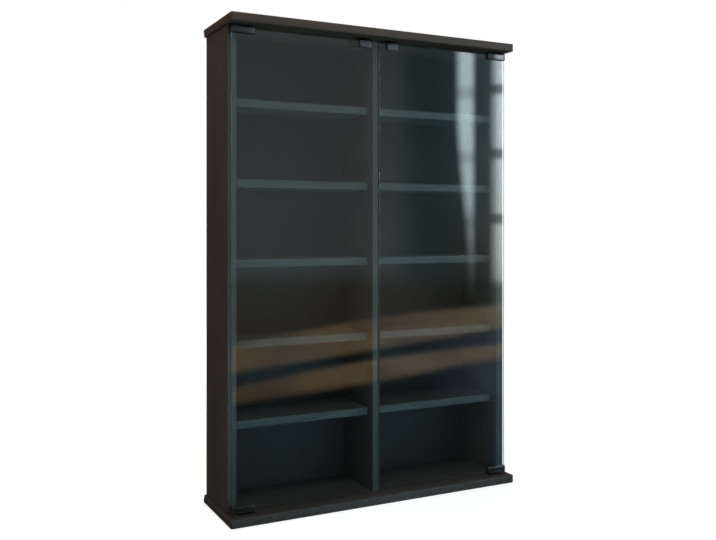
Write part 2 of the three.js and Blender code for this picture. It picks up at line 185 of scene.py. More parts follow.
class Sheet:
    """A blank sheet of shader nodes, and the methods that put nodes on it."""

    def __init__(self, owner):
        owner.use_nodes = True
        self.tree = owner.node_tree
        self.tree.nodes.clear()

    def node(self, kind, inputs=(), output=0, **settings):
        """Adds a node: its settings first, then what goes into its sockets. Gives one output."""
        node = self.tree.nodes.new("ShaderNode" + kind)
        for name, value in settings.items():
            setattr(node, name, value)
        for socket, value in dict(inputs).items():
            plug(self.tree, node.inputs[socket], value)
        return Value(self.tree, node.outputs[output]) if len(node.outputs) else None

    def blend(self, share, first, second):
        """The first colour where share is 0 and the second where it is 1. A Mix node has its share at
        socket 0 and its colours at 6 and 7, and gives a colour at output 2."""
        return self.node("Mix", {0: share, 6: first, 7: second}, output=2, data_type="RGBA")

    def noise(self, place, scale, detail, roughness=0.5):
        """Cloudy noise from 0 to 1 at a place, with scale lumps to the metre."""
        values = {"Vector": place, "Scale": scale, "Detail": detail, "Roughness": roughness}
        return self.node("TexNoise", values)

    def relief(self, height, strength, depth):
        """The surface's direction where it rises by depth as height goes from 0 to 1."""
        return self.node("Bump", {"Height": height, "Strength": strength, "Distance": depth})

    def cover(self, values):
        """Makes a Principled shader with these values the whole surface."""
        self.node("OutputMaterial", {"Surface": self.node("BsdfPrincipled", values)})


def blank(name):
    """A new material, its sheet, and the object's own coordinates, which its pattern is drawn on."""
    material = bpy.data.materials.new(name)
    sheet = Sheet(material)
    return material, sheet, sheet.node("TexCoord", output="Object")


def linear(red, green, blue):
    """A colour of 0 to 255, as a screen shows it, as the amounts of light that shaders use."""
    share = np.array([red, green, blue]) / 255
    light = np.where(share <= 0.04045, share / 12.92, ((share + 0.055) / 1.055) ** 2.4)
    return (*light.tolist(), 1.0)


print("a screen's mid grey, 128, is", round(linear(128, 128, 128)[0], 3), "of full light")

# %% [markdown]
# ## What the glass mirrors
#
# Clear glass is only seen by what it mirrors. In the picture the doors mirror a room: a cool grey
# haze, two warm wooden bands with a dark gap between them, and near darkness below. On the far right
# stands a bright window with crossbars and a soft glow beside it, and left of it a slim leaning
# strip of the same window shows through a gap. A photograph of a room could be wrapped round the
# scene, but this one is simple enough to be a formula of direction: its bearing, in degrees from
# straight in front towards the right, and its rise, the slope of the line of sight.
#
# Only mirrored rays see the room. The camera sees plain white, also through the glass, and matt
# surfaces are lit by an even grey, so that a colour comes out about as it is written.

# %% Write the room and the even light as a world
ambient = (0.22, 0.22, 0.22, 1)
haze = (0.31, 0.355, 0.35, 1)
shade = (0.12, 0.19, 0.19, 1)
glow_high = (0.31, 0.43, 0.45, 1)
glow_low = (0.22, 0.23, 0.20, 1)
dusk_left = (0.20, 0.15, 0.10, 1)
dusk_right = (0.07, 0.07, 0.05, 1)
gloom = (0.022, 0.025, 0.025, 1)
cool_patch = (0.14, 0.19, 0.26, 1)
bronze_left = (0.72, 0.38, 0.15, 1)
bronze_right = (0.92, 0.66, 0.44, 1)
window_high = (5.8, 6.7, 7.2, 1)
window_low = (4.95, 5.2, 4.9, 1)
strip_light = (4.5, 5.3, 5.5, 1)
far_corner = (0.03, 0.09, 0.17, 1)
rear_high = (0.16, 0.11, 0.09, 1)
rear_low = (0.03, 0.03, 0.03, 1)
white = (1, 1, 1, 1)

world = bpy.data.worlds.new("room")
bpy.context.scene.world = world
room = Sheet(world)
direction = room.node("TexCoord", output="Generated")
east, north, up = (room.node("SeparateXYZ", {0: direction}, output=axis) for axis in range(3))
bearing = east.maths("ARCTAN2", east, 0 - north) * math.degrees(1)
level = east.maths("SQRT", east * east + north * north)
rise = up / level

# The window, the strip of it beside, and the crossbars, each by its rise and its darkness.
crossbars = ((0.150, 0.82), (0.0785, 0.82), (0.0068, 0.80))
strip_bar_drop = 0.004
strip_bar_darkness = 0.35
below_ceiling = rise.ramp(0.5, 0.4)
sill = rise.ramp(-0.070, -0.055) * 0.57
sill = sill + rise.ramp(-0.065, -0.02) * 0.3
sill = sill + rise.ramp(-0.10, -0.09) * 0.13
window = bearing.ramp(32.61, 33.65) * bearing.ramp(46, 42) * below_ceiling * sill
lean = rise.ramp(0.13, -0.07) * 0.78
strip = (bearing - lean).ramp(30.42, 31.15) * bearing.ramp(32.03, 31.45)
strip = strip * rise.ramp(-0.09, 0.09) * below_ceiling
for bar_rise, darkness in crossbars:
    bar = rise.distance_to(bar_rise).ramp(0.0095, 0.002)
    window = window * (1 - bar * darkness)
    soft_bar = rise.distance_to(bar_rise - strip_bar_drop).ramp(0.012, 0.001)
    strip = strip * (1 - soft_bar * strip_bar_darkness)

# The wooden bands. Their edges are given at the cabinet's left side, divider and right side.
panel_bearings = (17, 25.2, 32.9)


def level_line(*rises):
    """A long edge in the room: a parabola through its rise at the bearings of the three panels."""
    curve, slope, start = np.polyfit(panel_bearings, rises, 2).tolist()
    return bearing * bearing * curve + bearing * slope + start


below_top = (rise - level_line(-0.131, -0.104, -0.0895)).ramp(0.005, -0.005)
below_first = (rise - level_line(-0.158, -0.137, -0.115)).ramp(0.005, -0.006)
below_gap = (rise - level_line(-0.1755, -0.150, -0.1325)).ramp(0.005, -0.005)
below_second = (rise - level_line(-0.191, -0.172, -0.147)).ramp(0.005, -0.007)
bands = below_top * (1 - below_first) + below_gap * (1 - below_second)
blotch_place = room.node("CombineXYZ", {0: bearing * 0.01, 1: rise})
blotches = room.noise(blotch_place, scale=24, detail=2).ramp(0.34, 0.60)
bands = bands * (blotches * 0.4 + 0.6)
bronze = room.blend(bearing.ramp(15, 34), bronze_left, bronze_right)

# The walls from above to below, and over them what is brighter.
upper_wall = room.blend(bearing.ramp(26.4, 28.3), haze, shade)
window_glow = room.blend(rise.ramp(0.05, -0.05), glow_high, glow_low)
upper_wall = room.blend(bearing.ramp(28.6, 32.6), upper_wall, window_glow)
dusk = room.blend(bearing.ramp(26, 34), dusk_left, dusk_right)
mirrored = room.blend(rise.ramp(-0.046, -0.070), upper_wall, dusk)
mirrored = room.blend(below_first, mirrored, gloom)
cool_share = bearing.ramp(28, 32) * below_first * rise.ramp(-0.196, -0.182)
mirrored = room.blend(cool_share, mirrored, cool_patch)
mirrored = room.blend(bands, mirrored, bronze)
corner_share = bearing.ramp(32.9, 33.15) * rise.ramp(-0.185, -0.20)
mirrored = room.blend(corner_share, mirrored, far_corner)
mirrored = room.blend(strip, mirrored, strip_light)
window_light = room.blend(rise.ramp(0.10, 0.0), window_high, window_low)
mirrored = room.blend(window, mirrored, window_light)
rear_wall = room.blend(rise.ramp(-0.5, 0.5), rear_low, rear_high)
mirrored = room.blend(north.ramp(-0.25, 0.15), mirrored, rear_wall)

from_camera = room.node("LightPath", output="Is Camera Ray")
through_glass = room.node("LightPath", output="Is Transmission Ray")
times_mirrored = room.node("LightPath", output="Glossy Depth")
colour = room.blend(from_camera.maximum(through_glass), ambient, white)
colour = room.blend(times_mirrored.ramp(0, 1), colour, mirrored)
room.node("OutputWorld", {"Surface": room.node("Background", {"Color": colour})})
print("world nodes:", len(world.node_tree.nodes))

# %% [markdown]
# ## The floor
#
# The floor is plain and pale. A white floor under even light still comes out a little grey, so for
# the camera part of its brightness is its own glow, and the rest is lit: it reads as white, and the
# cabinet's soft shadow stays. Mirrored rays and rays that have passed the glass don't see it: the
# room's formula says what is mirrored below, and the white behind takes the floor's place.

# %% Lay the floor
floor_reach = 6.0
floor_drop = -0.4 * mm
matt_grey = (0.6, 0.6, 0.6, 1)
dimmed_grey = (0.36, 0.36, 0.36, 1)
near_glow = (0.79, 0.785, 0.785, 1)
far_glow = (0.95, 0.95, 0.95, 1)
glow_start = 0.35
glow_end = 2.2


def flat_mesh(name, points, faces):
    """An object from plain lists of points and faces."""
    mesh = bpy.data.meshes.new(name)
    mesh.from_pydata(points, [], faces)
    obj = bpy.data.objects.new(name, mesh)
    bpy.context.collection.objects.link(obj)
    return obj


floor_corners = [(-1, -1), (1, -1), (1, 1), (-1, 1)]
floor_points = [(x * floor_reach, y * floor_reach, floor_drop) for x, y in floor_corners]
floor = flat_mesh("floor", floor_points, [range(4)])
floor.visible_glossy = False
floor.visible_transmission = False
floor_paint, paint, place = blank("floor_paint")
from_middle = paint.node("VectorMath", {0: place}, output="Value", operation="LENGTH")
glow_colour = paint.blend(from_middle.ramp(glow_start, glow_end), near_glow, far_glow)
glow = paint.node("Emission", {"Color": glow_colour})
dimmed = paint.node("BsdfDiffuse", {"Color": dimmed_grey})
for_camera = paint.node("AddShader", {0: dimmed, 1: glow})
for_others = paint.node("BsdfDiffuse", {"Color": matt_grey})
from_camera = paint.node("LightPath", output="Is Camera Ray")
either = paint.node("MixShader", {0: from_camera, 1: for_others, 2: for_camera})
paint.node("OutputMaterial", {"Surface": either})
floor.data.materials.append(floor_paint)
floor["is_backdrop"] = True
print("the floor reaches", floor_reach, "m each way")

# %% [markdown]
# ## The lamps
#
# Five soft boxes light the cabinet, and none of them is seen or mirrored. A high one in front grades
# the boards and panels from top to bottom. A warm one stands so far round to the left that it lights
# the left side and never the front. A blue one fills the front as daylight does, a low one stands
# for the light that a pale floor sends up under the overhangs, and one lights the back.

# %% Hang the lamps
def soft_box(name, place, target, size, power, colour):
    """A square area lamp at a place, aimed at a target."""
    data = bpy.data.lights.new(name, "AREA")
    data.size = size
    data.energy = power
    data.color = colour
    lamp = bpy.data.objects.new(name, data)
    lamp.location = place
    toward = np.array(target, float) - np.array(place, float)
    tilt = math.atan2(math.hypot(toward[0], toward[1]), -toward[2])
    turn = math.atan2(-toward[0], toward[1])
    lamp.rotation_euler = (tilt, 0, turn)
    lamp.visible_camera = False
    lamp.visible_glossy = False
    lamp.visible_transmission = False
    bpy.context.collection.objects.link(lamp)
    return lamp


upper = (0, 0, 0.75)
middle = (0, 0, 0.45)
overhang = (0, -0.2, 1)
lamps = [
    soft_box("high_box", (-0.3, -0.9, 1.75), upper, 0.8, 14.9, (0.99, 1.0, 0.96)),
    soft_box("left_box", (-2.2, 0.25, 1.1), middle, 1.0, 12.2, (1.0, 1.0, 0.92)),
    soft_box("front_box", (0.7, -2.3, 0.6), middle, 1.2, 10.3, (0.0, 0.5, 1.0)),
    soft_box("floor_bounce", (0, -0.45, 0.03), overhang, 0.5, 7.4, (0.47, 0.86, 1.0)),
    soft_box("back_box", (1.1, 2.3, 1.5), middle, 1.6, 36, (1.0, 0.98, 0.95)),
]
print("lamps:", len(lamps))

# %% [markdown]
# ## Black-brown foil
#
# The boards are chipboard under a printed foil: a very dark brown with a faint, long wood grain that
# is also pressed into the foil as fine pores. Boards and shelves have their grain along their length,
# and the upright panels have it running up. A noise that is squeezed along the grain makes both the
# streaks and the pores, so one function serves every board. The top board has the base's foil, but
# its copy is painted a little warmer: painted warm light on its front and underside. The shelves'
# is more neutral and glossier.

# %% Make the foils
grain_squeeze = 0.045
pore_tone = 0.5
pore_strength = 0.5


def foil(name, dark, light, grain, dullness):
    """Dark foil between two screen colours. grain is the axis that the streaks run along."""
    dark, light = linear(*dark), linear(*light)
    material, sheet, place = blank(name)
    squeeze = [1.0, 1.0, 1.0]
    squeeze[grain] = grain_squeeze
    along = sheet.node("Mapping", {"Vector": place, "Scale": squeeze})
    streaks = sheet.noise(along, scale=46, detail=5, roughness=0.62).ramp(0.34, 0.70)
    pores = sheet.noise(along, scale=640, detail=3, roughness=0.55).ramp(0.60, 0.74)
    clouds = sheet.noise(place, scale=5, detail=3).ramp(0.3, 0.7)
    pore_colour = (*(channel * pore_tone for channel in dark[:3]), 1)
    colour = sheet.blend(streaks * 0.62 + clouds * 0.38, dark, light)
    sheet.cover({
        "Base Color": sheet.blend(pores * pore_strength, colour, pore_colour),
        "Roughness": pores * 0.14 + streaks * 0.05 + dullness,
        "Specular IOR Level": 0.25,
        "Normal": sheet.relief(streaks * 0.3 - pores, strength=0.14, depth=0.06 * mm),
    })
    return material


foil_dark = (47, 42, 39)
foil_light = (60, 54, 50)
board_foil = foil("board_foil", foil_dark, foil_light, along_x, 0.40)
panel_foil = foil("panel_foil", foil_dark, foil_light, along_z, 0.44)
# The top board's copy is painted warmer: painted warm light on the top board's front and underside.
warm_lit_top_foil = foil("warm_lit_top_foil", (50, 40, 33), (64, 52, 43), along_x, 0.40)
shelf_foil = foil("shelf_foil", (46, 44, 41), (59, 56, 53), along_x, 0.30)


def dress(material, *nodes):
    """Gives frame nodes a material."""
    for node in nodes:
        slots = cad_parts[node].data.materials
        slots.clear()
        slots.append(material)


columns = ("left", "right")
panels = ("left_side", "right_side", "center_divider")
shelves = [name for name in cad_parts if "_shelf_" in name and "_pin_" not in name]
shelf_pins = [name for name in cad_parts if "_shelf_pin_" in name]
dress(panel_foil, *panels)
dress(shelf_foil, *shelves)
print("foil on", len(panels), "panels and", len(shelves), "shelves")

# %% [markdown]
# ## The back sheet
#
# The back is thin hardboard, printed black-brown on its inner face and left as pressed fibre on its
# outer one, where it looks a dull mid brown. One material can do both: the side that a point faces
# tells which face it is on. The fibres are a fine speckle with no direction.

# %% Make the hardboard
hardboard, sheet, place = blank("hardboard")
fibre = sheet.noise(place, scale=900, detail=4, roughness=0.7)
mottle = sheet.noise(place, scale=14, detail=4).ramp(0.25, 0.8)
facing = sheet.node("NewGeometry", output="Normal")
rear_face = sheet.node("SeparateXYZ", {0: facing}, output=along_y).ramp(0.3, 0.6)
printed = sheet.blend(fibre.ramp(0.4, 0.7), linear(25, 22, 21), linear(31, 28, 26))
pressed = sheet.blend(fibre.ramp(0.35, 0.65), linear(84, 60, 42), linear(118, 88, 62))
pressed = sheet.blend(mottle * 0.28, pressed, linear(78, 57, 41))
sheet.cover({
    "Base Color": sheet.blend(rear_face, printed, pressed),
    "Roughness": rear_face * 0.25 + 0.6,
    "Normal": sheet.relief(fibre, strength=0.3, depth=0.1 * mm),
})
dress(hardboard, "back_sheet")
print("hardboard on the back sheet")

# %% [markdown]
# ## The glass doors
#
# The panes are real slabs, 4 mm thick, so a true glass shader bends and mirrors light at both faces.
# It has the faint blue-green tint that the picture's glass gives to what stands behind it. Its one
# fault is that lamps don't shine through it. Lamp rays and matt bounces therefore meet a shader that
# lets them straight through, with a weaker tint.

# %% Make the glass
glass = bpy.data.materials.new("door_glass")
sheet = Sheet(glass)
values = {
    "Base Color": (0.88, 0.995, 1.0, 1),
    "Roughness": 0.0,
    "IOR": 1.5,
    "Transmission Weight": 1.0,
}
pane = sheet.node("BsdfPrincipled", values)
clear = sheet.node("BsdfTransparent", {"Color": (0.935, 0.995, 1.0, 1)})
lamp_ray = sheet.node("LightPath", output="Is Shadow Ray")
matt_bounce = sheet.node("LightPath", output="Is Diffuse Ray")
either = sheet.node("MixShader", {0: lamp_ray.maximum(matt_bounce), 1: pane, 2: clear})
sheet.node("OutputMaterial", {"Surface": either})
dress(glass, *(f"{column}_door_glass" for column in columns))
print("glass in both doors")

# %% [markdown]
# ## Castings, steel and plastic
#
# The small fittings are black cast clamps with a satin coat, turned steel pins, nickel plated strike
# plates, and moulded plastic for the bushes, latches and shelf pins. Each gets its own grain: an
# orange-peel ripple on the coat, turning lines on the pins, a fine brushed haze on the plates, and
# the dull spark-eroded skin of a mould on the plastic.

# %% Make the finishes of the fittings
def fitting(name, dark, light, roughness, metal=0.0, coat=0.0, scale=900, depth=0.02,
            squeeze=(1, 1, 1)):
    """A finish between two screen colours, with a relief of depth millimetres. squeeze draws the
    relief out along an axis, as brushing does. A coat takes over most of the gloss below it."""
    material, sheet, place = blank(name)
    drawn = sheet.node("Mapping", {"Vector": place, "Scale": squeeze})
    grain = sheet.noise(drawn, scale, detail=3, roughness=0.6)
    smudges = sheet.noise(place, scale=60, detail=3).ramp(0.3, 0.7)
    sheet.cover({
        "Base Color": sheet.blend(grain.ramp(0.3, 0.7), linear(*dark), linear(*light)),
        "Roughness": smudges * 0.08 + grain * 0.06 + roughness,
        "Metallic": metal,
        "Normal": sheet.relief(grain, strength=0.5, depth=depth * mm),
        "Specular IOR Level": 0.5 - 0.35 * coat,
        "Coat Weight": coat,
        "Coat Roughness": 0.16,
        "Coat IOR": 1.65,
    })
    return material


clamp_coat = fitting("clamp_black", (13, 13, 13), (18, 18, 18), 0.34, coat=1.0, scale=700, depth=0.008)
turned_steel = fitting(
    "pin_steel", (62, 62, 64), (84, 84, 86), 0.30,
    metal=1.0, scale=1500, depth=0.01, squeeze=(0.1, 0.1, 1),
)
nickel = fitting(
    "strike_steel", (58, 62, 66), (74, 78, 82), 0.28,
    metal=1.0, scale=1200, depth=0.01, squeeze=(0.04, 1, 1),
)
screw_zinc = fitting(
    "screw_zinc", (128, 129, 130), (160, 161, 162), 0.3, metal=1.0, scale=1400, depth=0.01
)
magnet_skin = fitting(
    "magnet", (96, 97, 99), (124, 125, 127), 0.32, metal=1.0, scale=1100, depth=0.015
)
nylon = fitting("bush_nylon", (34, 34, 35), (42, 42, 43), 0.48)
latch_skin = fitting("latch_plastic", (40, 36, 33), (48, 43, 40), 0.46)
plunger_skin = fitting("plunger_plastic", (62, 62, 64), (72, 72, 74), 0.40)
pin_skin = fitting("shelf_pin", (52, 44, 39), (62, 53, 47), 0.45)
print("materials so far:", len(bpy.data.materials))

# %% [markdown]
# ## Surfaces from formulas
#
# The frame's solids have few facets, too few for a close look. Boards, clamps, pins and latches are
# made again as smooth surfaces. Each is a grid of points from a formula of two parameters: one runs
# along a profile, the other along the path or the turn that carries it. A box with a bevel would be
# quicker, but its profile couldn't change along its way, as it does at a rounded end.

# %% Tools for surfaces
merge_distance = 0.002 * mm


def surface(name, grids, crease=30, fill_ends=False):
    """An object from grids of points, each of rows by columns by 3, in metres. Points that lie on one
    another are merged: a row that comes round closes, and a row without radius becomes a pole.
    Edges that turn by more than crease degrees stay sharp, and fill_ends closes open ends."""
    grids = [np.asarray(grid, float) for grid in grids]
    faces = []
    start = 0
    for grid in grids:
        index = start + np.arange(grid.size // 3).reshape(grid.shape[:2])
        quads = [index[:-1, :-1], index[:-1, 1:], index[1:, 1:], index[1:, :-1]]
        faces.append(np.stack(quads, axis=-1).reshape(-1, 4))
        start += index.size
    points = np.concatenate([grid.reshape(-1, 3) for grid in grids])
    obj = flat_mesh(name, points.tolist(), np.concatenate(faces).tolist())
    work = bmesh.new()
    work.from_mesh(obj.data)
    bmesh.ops.remove_doubles(work, verts=work.verts, dist=merge_distance)
    if fill_ends:
        open_edges = [edge for edge in work.edges if edge.is_boundary]
        bmesh.ops.holes_fill(work, edges=open_edges)
    bmesh.ops.recalc_face_normals(work, faces=work.faces)
    work.to_mesh(obj.data)
    work.free()
    obj.data.shade_smooth()
    obj.data.set_sharp_from_angle(angle=math.radians(crease))
    return obj


def make_piece(name, grids, material, body, slot, *nodes, **options):
    """A surface with its material, the body that carries it and the frame nodes it stands for."""
    obj = surface(name, grids, **options)
    obj.data.materials.append(material)
    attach(obj, body)
    if nodes:
        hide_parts(*nodes)
    return obj


def arc(centre, radius, start, end, steps=7):
    """Points of an arc, from start to end in degrees, as rows of two coordinates."""
    angle = np.radians(np.linspace(start, end, steps))
    return np.stack([centre[0] + radius * np.cos(angle), centre[1] + radius * np.sin(angle)], axis=-1)


def soften(corners, radii, steps=7):
    """Rounds each corner of a closed outline. Gives the outline's points, with the first one again at
    the end, and the unit vector at each that leads out of the outline, which runs anticlockwise."""
    corners = np.array(corners, float)
    radii = np.array(radii, float)[:, None]
    back = np.roll(corners, 1, axis=0) - corners
    ahead = np.roll(corners, -1, axis=0) - corners
    back /= np.linalg.norm(back, axis=1, keepdims=True)
    ahead /= np.linalg.norm(ahead, axis=1, keepdims=True)
    bisector = back + ahead
    bisector /= np.linalg.norm(bisector, axis=1, keepdims=True)
    half = np.arccos(np.sum(back * bisector, axis=1, keepdims=True))
    centres = corners + bisector * radii / np.sin(half)
    turn = np.sign(back[:, 1] * ahead[:, 0] - back[:, 0] * ahead[:, 1])[:, None]
    sweep = np.linspace(-1, 1, steps)[None] * turn * (math.pi / 2 - half)
    away = np.arctan2(-bisector[:, 1], -bisector[:, 0])[:, None] + sweep
    spokes = np.stack([np.cos(away), np.sin(away)], axis=-1)
    outline = (centres[:, None] + radii[..., None] * spokes).reshape(-1, 2)
    outward = (spokes * turn[..., None]).reshape(-1, 2)
    return np.concatenate([outline, outline[:1]]), np.concatenate([outward, outward[:1]])


def gathered(ring):
    """A ring drawn together into its middle. As the first or last row it closes that end."""
    return np.zeros_like(ring) + ring.mean(axis=0)


def carried(line, outward, axis, places, insets):
    """An outline carried along an axis, one ring for each place, drawn in by that ring's inset. The
    outline's coordinates are the two axes that follow, in turn."""
    grid = np.zeros((len(places), len(line), 3))
    rings = line - outward * np.array(insets)[:, None, None]
    grid[..., axis] = np.array(places)[:, None]
    grid[..., (axis + 1) % 3] = rings[..., 0]
    grid[..., (axis + 2) % 3] = rings[..., 1]
    return grid


def turned(profile, centre, axis, sides=48, shape=None):
    """A profile of (radius, place) rows turned round an axis through centre. shape gives the radius of
    a plan other than a circle, at each angle, and each row's third value is the share it has of it."""
    profile = np.array(profile, float)
    angle = np.linspace(0, 2 * math.pi, sides + 1)
    radius = profile[:, :1] * np.ones_like(angle)
    if shape is not None:
        radius = radius * (1 + profile[:, 2:3] * (shape(angle) - 1))
    grid = np.zeros((*radius.shape, 3)) + np.array(centre, float)
    grid[..., axis] += profile[:, 1:2]
    grid[..., (axis + 1) % 3] += radius * np.cos(angle)
    grid[..., (axis + 2) % 3] += radius * np.sin(angle)
    return grid


def rounded_profile(points, radius, steps=4):
    """A profile whose inner corners are rounded: each is cut back and swung round on a parabola. A
    short stretch between two corners is cut back by less than half."""
    points = np.array(points, float)
    before, corner, after = points[:-2], points[1:-1], points[2:]
    share = np.linspace(0, 1, steps)[None, :, None]
    back = np.linalg.norm(before - corner, axis=1, keepdims=True)
    ahead = np.linalg.norm(after - corner, axis=1, keepdims=True)
    start = corner + (before - corner) * np.minimum(radius / back, 0.45)
    end = corner + (after - corner) * np.minimum(radius / ahead, 0.45)
    start, corner, end = start[:, None], corner[:, None], end[:, None]
    bend = start * (1 - share) ** 2 + 2 * corner * share * (1 - share) + end * share ** 2
    return np.concatenate([points[:1], bend.reshape(-1, 2), points[-1:]])


def hexagon(angle):
    """Polar radius of a hexagon, 1 at its corners: cos 30 / cos(angle from a flat's middle)."""
    return math.cos(math.pi / 6) / np.cos(np.mod(angle, math.pi / 3) - math.pi / 6)


def cross(angle):
    """Polar radius of a four-pointed star with soft tips, from 0.4 between its points to 1 on them."""
    return 0.4 + 0.6 * np.abs(np.cos(2 * angle)) ** 3


print("tools are ready")

# %% [markdown]
# ## Top and base boards
#
# The two boards are one product: cut to plan, with the front and both ends milled to a quarter round
# and wrapped in foil without a seam, and with a rebate along the rear for the back sheet. The rings
# of the grid are the plan at rising heights, drawn in by the quarter round, and the rear edge steps
# forward where the rebate starts.

# %% Make the two boards
edge_radius = 2 * mm
plan_radius = 3 * mm
rebate_height = 8 * mm
rebate_play = 0.1 * mm


def board_plan(inset, rear, low, high):
    """The board's plan drawn in by inset on three sides: two arcs at the front and a square rear."""
    front = low[1] + plan_radius
    front_left = arc((low[0] + plan_radius, front), plan_radius - inset, 180, 270, 9)
    front_right = arc((high[0] - plan_radius, front), plan_radius - inset, 270, 360, 9)
    back_edge = [(high[0] - inset, rear), (low[0] + inset, rear)]
    plan = np.concatenate([front_left, front_right, back_edge])
    return np.concatenate([plan, plan[:1]])


def board_grid(node, underside_up):
    """Rings of the plan from the outer face to the inner one. The rebate is cut in the inner face."""
    low, high = corners(node)
    thickness = high[2] - low[2]
    shoulder = corners("back_sheet")[0][1] - rebate_play
    round_in = arc((0, edge_radius), edge_radius, 270, 360, 7)
    round_out = arc((0, thickness - edge_radius), edge_radius, 0, 90, 7)
    outer = [(edge_radius - x, z, high[1]) for x, z in round_in]
    step = [(0, thickness - rebate_height, high[1]), (0, thickness - rebate_height, shoulder)]
    inner = [(edge_radius - x, z, shoulder) for x, z in round_out]
    rings = []
    for inset, depth, rear in [*outer, *step, *inner]:
        plan = board_plan(inset, rear, low, high)
        height = low[2] + depth if underside_up else high[2] - depth
        rings.append(np.column_stack([plan, np.full(len(plan), height)]))
    return [gathered(rings[0]), *rings, gathered(rings[-1])]


# The top board takes the warmer copy of the foil, whose colour paints warm light on it.
boards = [("base_board", board_foil, True), ("top_board", warm_lit_top_foil, False)]
for node, finish, underside_up in boards:
    grids = [board_grid(node, underside_up)]
    board = make_piece(f"{node}_wrapped", grids, finish, "carcass", "board_foil", node)
    print(board.name, len(board.data.vertices), "points")

# %% [markdown]
# ## Clamps on the glass corners
#
# Each pane hangs in two small die-cast shoes, one at its outer bottom corner and one at its outer
# top corner. A shoe is a U that wraps the edge, held by two grub screws in its rear wall. The U is
# carried along X and drawn in a little at both ends, as a casting's edges are rounded. The middle of
# a U lies outside it, so each end is closed by one flat face. The grub screws are turned, with a
# hexagon pressed into their ends.

# %% Make the clamps and their grub screws
door_ends = ((-1, "bottom"), (1, "top"))
clamp_floor = 3 * mm
clamp_edge = 1 * mm
clamp_mouth = 0.5 * mm
clamp_fillet = 0.6 * mm
end_softness = 0.45 * mm
slot_gap = 0.3 * mm
grub_place = 12 * mm
grub_sink = 0.2 * mm
grub_radius = 1.45 * mm
grub_length = 3.3 * mm
grub_edge = 0.15 * mm
socket_depth = 1.4 * mm
socket_bottom = 1.7 * mm


def clamp_grid(node, end):
    """The U's outline carried along X. end is 1 at the top of the door, where the floor is above."""
    low, high = corners(node)
    glass_low, glass_high = corners(f"{node.split('_')[0]}_door_glass")
    near, far = glass_low[1] - slot_gap, glass_high[1] + slot_gap
    floor_face, tip = (low[2], high[2]) if end < 0 else (high[2], low[2])
    slot_face = floor_face - end * clamp_floor
    outline = [
        (low[1], floor_face), (high[1], floor_face), (high[1], tip), (far, tip),
        (far, slot_face), (near, slot_face), (near, tip), (low[1], tip),
    ]
    radii = [clamp_edge] * 3 + [clamp_mouth] + [clamp_fillet] * 2 + [clamp_mouth, clamp_edge]
    if end > 0:
        outline.reverse()
        radii.reverse()
    line, outward = soften(outline, radii)
    rounding = arc((0, end_softness), end_softness, 270, 360, 5)
    inset = end_softness - rounding[:, 0]
    places = [*(low[0] + rounding[:, 1]), *(high[0] - rounding[::-1, 1])]
    return carried(line, outward, along_x, places, [*inset, *inset[::-1]])


def grub_grid(centre):
    """A grub screw along Y with its socket to the rear: its tip, thread, rim and hexagon socket."""
    profile = [
        (0, -grub_length, 0), (grub_radius * 0.6, -grub_length, 0),
        (grub_radius, -grub_length * 0.85, 0), (grub_radius, -grub_edge, 0),
        (grub_radius * 0.9, 0, 0), (grub_radius * 0.62, 0, 0),
        (grub_radius * 0.60, -0.2 * grub_edge, 1), (grub_radius * 0.58, -socket_depth, 1),
        (0, -socket_bottom, 1),
    ]
    return turned(profile, centre, along_y, 48, hexagon)


for column in columns:
    for end, height in door_ends:
        node = f"{column}_{height}_clamp"
        door = f"{column}_door"
        grids = [clamp_grid(node, end)]
        make_piece(f"{node}_cast", grids, clamp_coat, door, "clamp_black", node, fill_ends=True)
        low, high = corners(node)
        screw_z = middle_of(node, along_z) - end * clamp_floor / 2
        screw_xs = (low[0] + grub_place, high[0] - grub_place)
        grids = [grub_grid((x, high[1] - grub_sink, screw_z)) for x in screw_xs]
        make_piece(f"{node}_grub_screws", grids, screw_zinc, door, "pin_steel")
print("clamps and grub screws are on")

# %% [markdown]
# ## Hinge pins and bushes
#
# A door turns on two steel pins pressed in its clamps. Each has a collar and a journal, which runs in
# a flanged nylon bush let into the board. All are turned parts, so each is one profile spun round
# the hinge's axis, with places that count from the board's face towards the door. The profiles are
# the frame's, with their edges rounded.

# %% Make the pins and bushes
pin_radius = 2.5 * mm
pin_chamfer = 0.5 * mm
pin_gap = 0.3 * mm
collar_radius = 4.4 * mm
collar_thickness = 1.4 * mm
flange_radius = 5.5 * mm
flange_thickness = 1.2 * mm
flange_lift = 0.1 * mm
sleeve_radius = 3.85 * mm
sleeve_bore = 2.65 * mm
sleeve_depth = 9 * mm
small_round = 0.25 * mm

journal_end = pin_gap - sleeve_depth
collar_start = flange_thickness + pin_gap
collar_end = collar_start + collar_thickness
bush_outline = [
    (sleeve_bore, -sleeve_depth / 2), (sleeve_bore, -sleeve_depth), (sleeve_radius, -sleeve_depth),
    (sleeve_radius, flange_lift), (flange_radius, flange_lift), (flange_radius, flange_thickness),
    (sleeve_bore, flange_thickness), (sleeve_bore, -sleeve_depth / 2),
]


def pin_outline(shank_end):
    """Half the pin's section from the journal's foot, over the collar, to the end in the clamp."""
    return [
        (0, journal_end), (pin_radius - pin_chamfer, journal_end),
        (pin_radius, journal_end + pin_chamfer), (pin_radius, collar_start),
        (collar_radius, collar_start), (collar_radius, collar_end),
        (pin_radius, collar_end), (pin_radius, shank_end), (0, shank_end),
    ]


